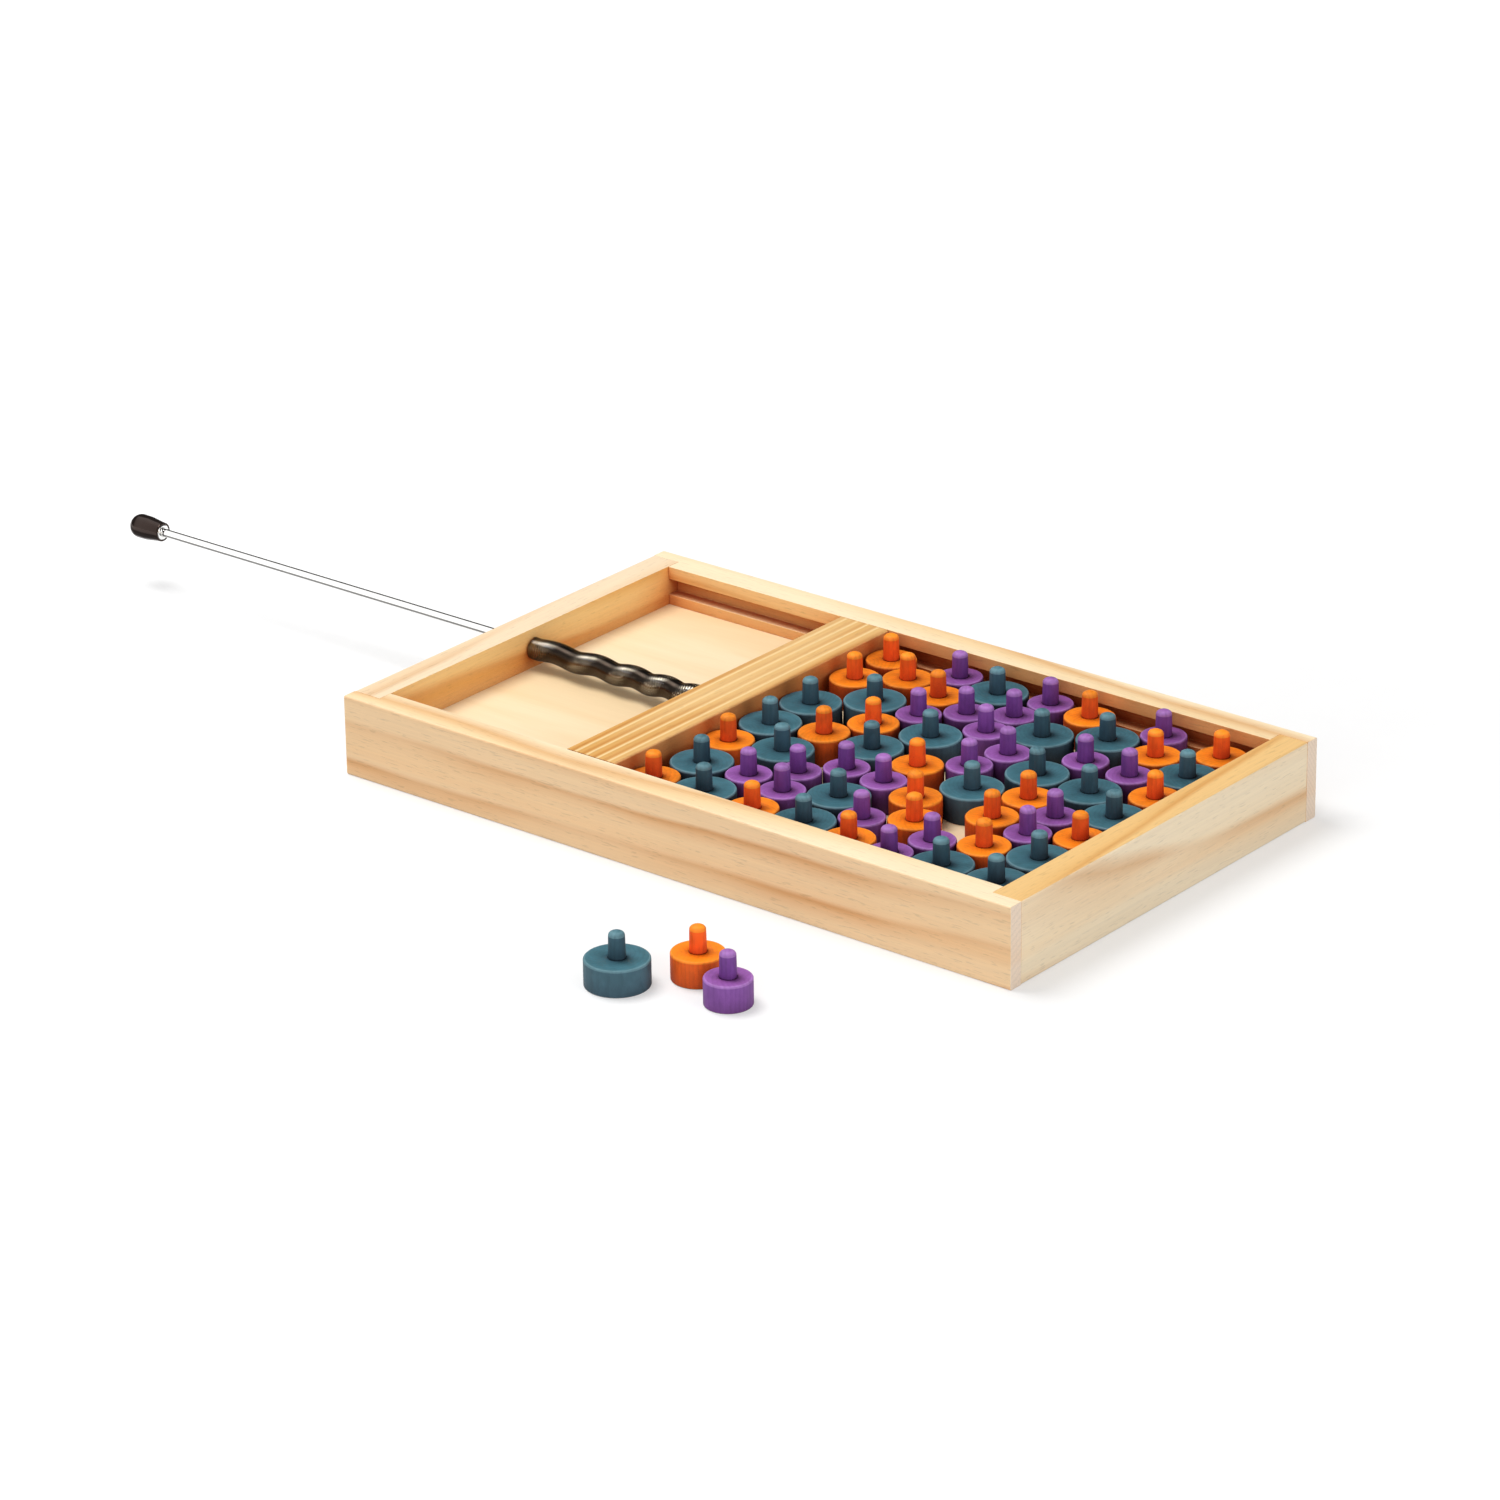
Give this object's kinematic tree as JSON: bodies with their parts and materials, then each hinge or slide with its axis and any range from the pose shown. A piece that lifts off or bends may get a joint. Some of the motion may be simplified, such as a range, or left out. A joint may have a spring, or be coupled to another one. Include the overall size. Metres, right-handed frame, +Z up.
{
  "type": "tray game with pegged discs",
  "caption": "Open wooden tray game: a sprung bar on a pull rod squeezes coloured pegged discs against the far end, with a few loose discs beside the tray.",
  "frame": {"origin": "centre of the whole set's footprint on the table: rod, tray and loose discs together", "axes": "+X along the tray from the pull rod to the far end, +Y from the loose discs to the tray's back, +Z up"},
  "size_m": [0.496, 0.268, 0.0354],
  "materials": {
    "pine_long": "satin sanded pine",
    "pine_end": "satin sanded pine",
    "plywood": "pale veneer plywood, matt",
    "pine_bar": "quarter-sawn pine with strong straight grain, satin",
    "chrome_rod": "bright plated steel",
    "black_cap": "glossy moulded plastic",
    "bright_washer": "bright",
    "spring_steel": "blackened oiled spring wire, glossy",
    "teal_wood": "dyed wood, matt",
    "orange_wood": "dyed wood, matt",
    "purple_wood": "dyed wood, matt"
  },
  "bodies": {
    "tray": {"front_wall": "pine_long", "back_wall": "pine_long", "left_end_wall": "pine_end", "right_end_wall": "pine_end", "floor_panel": "plywood", "compression_spring": "spring_steel"},
    "pusher": {"pusher_bar": "pine_bar", "pusher_rod": "chrome_rod", "rod_cap": "black_cap", "cap_washer": "bright_washer"},
    "teal_set": {"teal_discs": "teal_wood", "teal_pegs": "teal_wood"},
    "orange_set": {"orange_discs": "orange_wood", "orange_pegs": "orange_wood"},
    "purple_set": {"purple_discs": "purple_wood", "purple_pegs": "purple_wood"},
    "loose_teal": {"loose_teal_disc": "teal_wood", "loose_teal_peg": "teal_wood"},
    "loose_orange": {"loose_orange_disc": "orange_wood", "loose_orange_peg": "orange_wood"},
    "loose_purple": {"loose_purple_disc": "purple_wood", "loose_purple_peg": "purple_wood"}
  },
  "joints": [
    {"name": "pull_back", "type": "slide", "parent": "tray", "child": "pusher", "axis": [-1, 0, 0], "range_m": [0, 0.02], "stiffness_N_per_m": 40, "springref_m": -0.12, "deforming": ["compression_spring"]},
    {"name": "lift_teal_set", "type": "slide", "parent": "tray", "child": "teal_set", "axis": [0, 0, 1], "range_m": [0, 0.03]},
    {"name": "lift_orange_set", "type": "slide", "parent": "tray", "child": "orange_set", "axis": [0, 0, 1], "range_m": [0, 0.03]},
    {"name": "lift_purple_set", "type": "slide", "parent": "tray", "child": "purple_set", "axis": [0, 0, 1], "range_m": [0, 0.03]},
    {"name": "lift_loose_teal", "type": "slide", "parent": "tray", "child": "loose_teal", "axis": [0, 0, 1], "range_m": [0, 0.03]},
    {"name": "lift_loose_orange", "type": "slide", "parent": "tray", "child": "loose_orange", "axis": [0, 0, 1], "range_m": [0, 0.03]},
    {"name": "lift_loose_purple", "type": "slide", "parent": "tray", "child": "loose_purple", "axis": [0, 0, 1], "range_m": [0, 0.03]}
  ]
}
